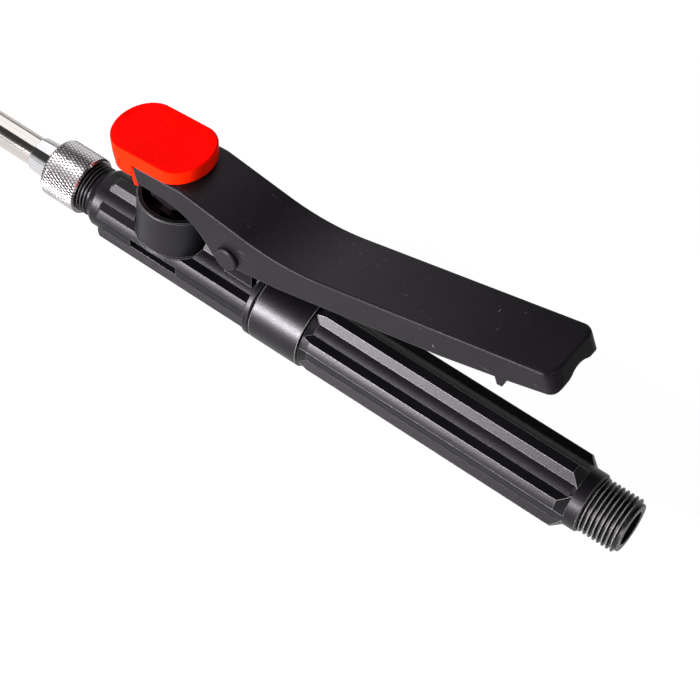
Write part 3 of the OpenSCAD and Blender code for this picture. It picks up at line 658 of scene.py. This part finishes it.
def makeNose(look):
    # the nose wraps down over the lever's tip
    nose = slideOutline(look)
    pickVerts(nose, lambda p: p.x < 0)
    bpy.ops.transform.resize(value=(look["draft"], 1, 1), center_override=(0, 0, 0))
    bpy.ops.mesh.select_all(action="SELECT")
    bpy.ops.mesh.bisect(plane_co=(tip, 0, 0), plane_no=(1, 0, 0), clear_outer=True)
    pickFaces(nose, lambda c, n: True)
    bpy.ops.mesh.inset(thickness=look["wall"])
    bpy.ops.mesh.delete(type="FACE")
    pickFaces(nose, lambda c, n: c.x > tip - look["backDepth"] and abs(c.y) < look["backWidth"])
    bpy.ops.mesh.delete(type="FACE")
    pickAll("FACE")
    bpy.ops.mesh.extrude_region_move(TRANSFORM_OT_translate={"value": (0, 0, -look["gap"] - look["nose"])})
    reach = look["front"] * look["draft"] + tip
    pickVerts(nose, lambda p: p.z < look["noseLow"])
    bpy.ops.transform.resize(value=((reach - look["rake"]) / reach, look["noseTaper"], 1),
                             center_override=(tip, 0, 0))
    pickEdges(nose, lambda a, b: max(a.z, b.z) < look["noseLow"])
    bpy.ops.mesh.bevel(offset=look["noseEdge"], segments=2)
    bpy.ops.mesh.select_all(action="SELECT")
    bpy.ops.mesh.normals_make_consistent(inside=False)
    objectMode()
    for side in (-1, 1):
        cutWith(nose, addSideBlock(look["notch"], side))
    return nose


def makeFeet(look):
    # the neck through the lever's top, feet that run inside its sides, and legs before its tip
    blocks = [addBlock(*look["neck"])]
    for side in (-1, 1):
        blocks.append(addSideBlock(look["foot"], side))
        blocks.append(addSideBlock(look["toe"], side))
        blocks.append(addSideBlock(look["leg"], side))
        pickAll()
        bpy.ops.transform.rotate(value=math.radians(look["lean"]), orient_axis="Y",
                                 center_override=(tip, 0, 0))
        objectMode()
    return blocks


def makeThumbSlide(look):
    cap = makeCap(look)
    joinInto(cap, [makeNose(look), *makeFeet(look)])
    piece = namePiece("thumbSlideRed")
    settle(piece, Matrix.Translation(look["place"]) @ Matrix.Rotation(math.radians(-look["fall"]), 4, "Y"))
    smoothFaces(piece, look["smooth"])
    pickFaces(piece, lambda c, n: n.z > look["flatTop"])
    bpy.ops.mesh.faces_shade_flat()
    objectMode()
    standFor(piece, "thumb_slide", "thumb_piece", "red_plastic")


makeThumbSlide(slideLook)
print("thumb slide made")


# knurled nut: a sleeve of small diamonds between two chamfers

nutLook = {"back": -238.7 * mm, "front": -254.9 * mm, "radius": 11.7 * mm, "around": 116, "rows": 10,
           "cut": 0.36 * mm, "frontChamfer": 1.0 * mm, "frontDrop": 0.9 * mm, "backChamfer": 0.8 * mm,
           "backDrop": 0.7 * mm, "bore": 10.1 * mm, "boreSlack": 0.3 * mm, "lip": 2.4 * mm,
           "lipBore": 7.6 * mm, "smooth": 12}


def pressKnurl(nut, look, start, length):
    pickEdges(nut, lambda a, b: abs(a.x - b.x) > length / 2)
    bpy.ops.mesh.subdivide(number_cuts=look["rows"] - 1)
    # every other crossing is pressed in, and the faces fold along the grooves
    step, row = 2 * math.pi / look["around"], length / look["rows"]

    def isGroove(p):
        return (round(math.atan2(p.z, p.y) / step) + round((p.x - start) / row)) % 2 == 0
    pickVerts(nut, isGroove)
    inward = 1 - look["cut"] / look["radius"]
    bpy.ops.transform.resize(value=(1, inward, inward), center_override=(start + length / 2, 0, 0))
    bpy.ops.mesh.select_all(action="SELECT")
    bpy.ops.mesh.quads_convert_to_tris(quad_method="SHORTEST_DIAGONAL")


def drawRings(nut, station, moves):
    # each ring is drawn on from the ring before it
    pickEdges(nut, lambda a, b: abs(a.x - station) < hair / 2 and abs(b.x - station) < hair / 2)
    for along, radius in moves:
        bpy.ops.mesh.extrude_edges_move(TRANSFORM_OT_translate={"value": (along, 0, 0)})
        objectMode()
        reach = [math.hypot(v.co.y, v.co.z) for v in nut.data.vertices if v.select]
        editMode("EDGE")
        scale = radius * len(reach) / sum(reach)
        bpy.ops.transform.resize(value=(1, scale, scale), center_override=(0, 0, 0))
    objectMode()


def closeBore(nut, look):
    def inBore(p):
        return abs(math.hypot(p.y, p.z) - look["bore"]) < look["boreSlack"]
    ends = [v.co.x for v in nut.data.vertices if inBore(v.co)]
    ends = (min(ends), max(ends))
    pickEdges(nut, lambda a, b: inBore(a) and inBore(b) and abs(a.x - b.x) < hair
              and min(abs(a.x - x) for x in ends) < 2 * hair)
    bpy.ops.mesh.bridge_edge_loops()
    bpy.ops.mesh.select_all(action="SELECT")
    bpy.ops.mesh.normals_make_consistent(inside=False)
    objectMode()


def makeNut(look):
    deselectAll()
    length = look["back"] - look["front"] - look["frontChamfer"] - look["backChamfer"]
    start = look["front"] + look["frontChamfer"]
    bpy.ops.mesh.primitive_cylinder_add(vertices=look["around"], radius=look["radius"], depth=length,
                                        end_fill_type="NOTHING", location=(start + length / 2, 0, 0),
                                        rotation=(0, quarter, 0))
    nut = namePiece("nutKnurled")
    settle(nut)
    pressKnurl(nut, look, start, length)
    # chamfer, end face, lip and bore at the front, chamfer and end face at the back
    drawRings(nut, start, [(-look["frontChamfer"], look["radius"] - look["frontDrop"]), (0, look["lipBore"]),
                           (look["lip"], look["lipBore"]), (0, look["bore"])])
    drawRings(nut, start + length, [(look["backChamfer"], look["radius"] - look["backDrop"]),
                                    (0, look["bore"])])
    closeBore(nut, look)
    makeActive(nut)
    bpy.ops.object.shade_smooth_by_angle(angle=math.radians(look["smooth"]))
    standFor(nut, "knurled_nut", "lance_nut", "nut_chrome")


makeNut(nutLook)
print("knurled nut made")


# floor, world, lamps and camera

def seenRays(nodes, links):
    # camera rays, and those together with the mirror and clear ones
    path = nodes.new("ShaderNodeLightPath")
    camera = path.outputs["Is Camera Ray"]
    both = sums(nodes, links, "MAXIMUM", camera, path.outputs["Is Glossy Ray"])
    return camera, sums(nodes, links, "MAXIMUM", both, path.outputs["Is Transmission Ray"])


def mixShaders(nodes, links, mask, first, second):
    mix = nodes.new("ShaderNodeMixShader")
    links.new(mask, mix.inputs["Fac"])
    links.new(first.outputs[0], mix.inputs[1])
    links.new(second.outputs[0], mix.inputs[2])
    return mix


floorLook = {"size": 8.0, "cuts": 3, "drop": 0.2 * mm, "colour": (0.86, 0.86, 0.86, 1), "rough": 0.9,
             "glow": 0.93, "mirrorGlow": 0.66, "shade": (0.2, 0.2, 0.2, 1)}


def makeFloor(look):
    deselectAll()
    bpy.ops.mesh.primitive_plane_add(size=look["size"], location=(0, 0, cadBox[0][2] - look["drop"]))
    floor = namePiece("floor")
    pickAll("FACE")
    bpy.ops.mesh.subdivide(number_cuts=look["cuts"])
    objectMode()
    settle(floor)
    material, shader, nodes, links = blankMaterial("floorPale")
    shader.inputs["Base Color"].default_value = look["colour"]
    shader.inputs["Roughness"].default_value = look["rough"]
    # it glows for the camera, and less in the metal's reflections
    camera, seen = seenRays(nodes, links)
    glow = nodes.new("ShaderNodeEmission")
    strength = spread(nodes, links, camera, unit, (look["mirrorGlow"], look["glow"]))
    links.new(strength, glow.inputs["Strength"])
    shade = nodes.new("ShaderNodeBsdfDiffuse")
    shade.inputs["Color"].default_value = look["shade"]
    both = nodes.new("ShaderNodeAddShader")
    links.new(glow.outputs[0], both.inputs[0])
    links.new(shade.outputs[0], both.inputs[1])
    mix = mixShaders(nodes, links, seen, shader, both)
    links.new(mix.outputs[0], nodes["Material Output"].inputs["Surface"])
    wear(floor, material)


worldLook = {"ambient": 0.5, "ceiling": 0.05, "wallTop": 0.05, "ceilingStart": 0.38, "skirting": 0.02,
             "skirtTone": 0.08, "skirtRange": (0.03, 0.05), "white": (1, 1, 1, 1)}


def makeWorld(look):
    world = bpy.data.worlds.new("whiteStudio")
    bpy.context.scene.world = world
    world.use_nodes = True
    nodes, links = world.node_tree.nodes, world.node_tree.links
    # white walls with a dark foot that fade into a dark ceiling
    split = nodes.new("ShaderNodeSeparateXYZ")
    links.new(nodes.new("ShaderNodeTexCoord").outputs["Generated"], split.inputs[0])
    height = split.outputs["Z"]
    wall = spread(nodes, links, height, (look["wallTop"], look["ceilingStart"]), (1.0, look["ceiling"]))
    foot = sums(nodes, links, "SUBTRACT", height, look["skirting"])
    foot = sums(nodes, links, "ABSOLUTE", foot, 0.0)
    foot = spread(nodes, links, foot, look["skirtRange"], (look["skirtTone"], 1.0))
    wall = sums(nodes, links, "MULTIPLY", wall, foot)
    base = nodes["Background"]
    base.inputs["Strength"].default_value = look["ambient"]
    links.new(wall, base.inputs["Color"])
    mirror = nodes.new("ShaderNodeBackground")
    links.new(wall, mirror.inputs["Color"])
    white = nodes.new("ShaderNodeBackground")
    white.inputs["Color"].default_value = look["white"]
    camera, seen = seenRays(nodes, links)
    surround = mixShaders(nodes, links, camera, mixShaders(nodes, links, seen, base, mirror), white)
    links.new(surround.outputs[0], nodes["World Output"].inputs["Surface"])


def addLamp(name, place, aim, size, power):
    lamp = bpy.data.lights.new(name, "AREA")
    lamp.shape = "DISK"
    lamp.size = size
    lamp.energy = power
    holder = bpy.data.objects.new(name, lamp)
    bpy.context.scene.collection.objects.link(holder)
    holder.location = place
    holder.rotation_euler = (Vector(aim) - Vector(place)).to_track_quat("-Z", "Y").to_euler()


lampLooks = [
    {"name": "frontSoft", "place": (-0.62, -1.2, 0.32), "aim": (-0.15, 0, 0.02), "size": 0.44, "power": 56},
    {"name": "rightSoft", "place": (0.75, -0.35, 1.0), "aim": (-0.15, 0, 0.02), "size": 0.8, "power": 5},
    {"name": "lanceCard", "place": (-0.35, 0.07, 0.17), "aim": (-0.275, 0, 0), "size": 0.27, "power": 0.22},
]
cameraLook = {"place": (0.1036, -0.38744, 0.55645), "right": (0.8026982, 0.58953407, 0.09013973),
              "up": (-0.50871851, 0.59795523, 0.61939892), "back": (0.31125725, -0.54304615, 0.77988448),
              "lens": 102.959, "sensor": 36.0, "near": 0.01}


def makeCamera(look):
    data = bpy.data.cameras.new("photoView")
    data.lens = look["lens"]
    data.sensor_width = look["sensor"]
    data.clip_start = look["near"]
    camera = bpy.data.objects.new("photoView", data)
    bpy.context.scene.collection.objects.link(camera)
    turn = Matrix((look["right"], look["up"], look["back"])).transposed().to_4x4()
    camera.matrix_world = Matrix.Translation(look["place"]) @ turn
    bpy.context.scene.camera = camera


makeFloor(floorLook)
makeWorld(worldLook)
for lampLook in lampLooks:
    addLamp(**lampLook)
makeCamera(cameraLook)
bpy.context.scene.view_settings.view_transform = "Standard"
print("stage, lamps and camera set")
